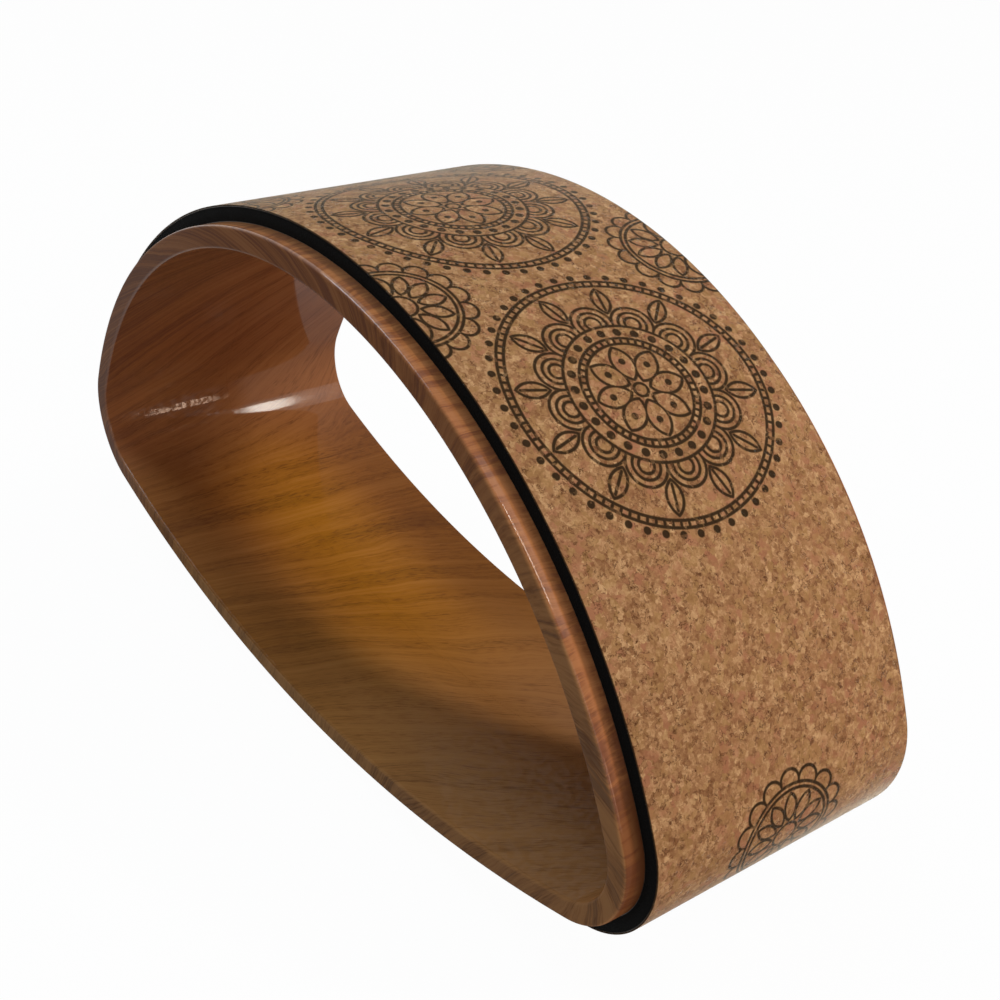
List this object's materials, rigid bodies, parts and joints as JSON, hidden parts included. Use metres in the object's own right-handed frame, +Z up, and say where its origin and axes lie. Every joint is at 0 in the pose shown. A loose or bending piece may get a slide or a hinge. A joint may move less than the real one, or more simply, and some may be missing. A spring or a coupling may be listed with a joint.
{
  "type": "half-moon yoga wheel",
  "caption": "Half-moon yoga wheel: an open D-shaped ring with a wood-look moulded shell and a black foam pad under printed cork, for back stretches and balance work.",
  "frame": {"origin": "on the floor, under the middle of the curved base", "axes": "+X along the length, +Y through the opening towards the rear rim, +Z up towards the arch"},
  "size_m": [0.395, 0.13, 0.205],
  "materials": {
    "wood_look_plastic": "glossy moulded plastic with a wood-grain print",
    "black_foam": "matt closed-cell foam",
    "cork": "fine-grained matt cork with a dark line print",
    "glue_film": "thin adhesive film, dark between the plies"
  },
  "bodies": {
    "root": {"front_shell": "wood_look_plastic", "rear_shell": "wood_look_plastic", "pad_glue_film": "glue_film", "foam_pad": "black_foam", "cork_glue_film": "glue_film", "cork_cover": "cork"}
  },
  "joints": []
}
